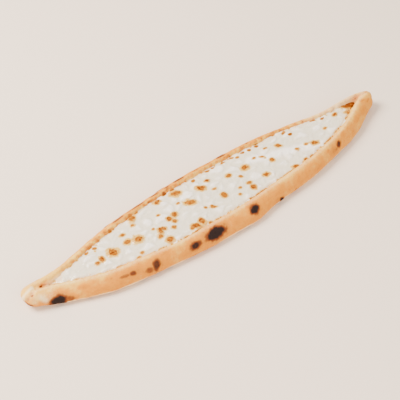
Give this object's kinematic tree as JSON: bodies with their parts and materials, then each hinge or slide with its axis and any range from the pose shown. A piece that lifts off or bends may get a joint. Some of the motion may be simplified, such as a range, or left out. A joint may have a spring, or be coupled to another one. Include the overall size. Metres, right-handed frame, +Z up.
{
  "type": "turkish pide",
  "caption": "Long boat-shaped Turkish pide: a baked dough boat with raised rims and pointed, pinched tips, filled to just below the rims with melted white cheese.",
  "frame": {"origin": "middle of the footprint's box, on the flat underside that rests on the table", "axes": "+X along the boat from the closed, knobbed tip to the open tip, +Y across it to the far side, +Z up"},
  "size_m": [0.5246, 0.1078, 0.0251],
  "materials": {
    "dough": "baked golden crust with dark scorched spots and a thin pale floury line along its foot, matte",
    "cheese": "melted white cheese with toasted orange-brown blisters, slightly glossy"
  },
  "bodies": {
    "root": {"dough": "dough", "cheese": "cheese"}
  },
  "joints": []
}
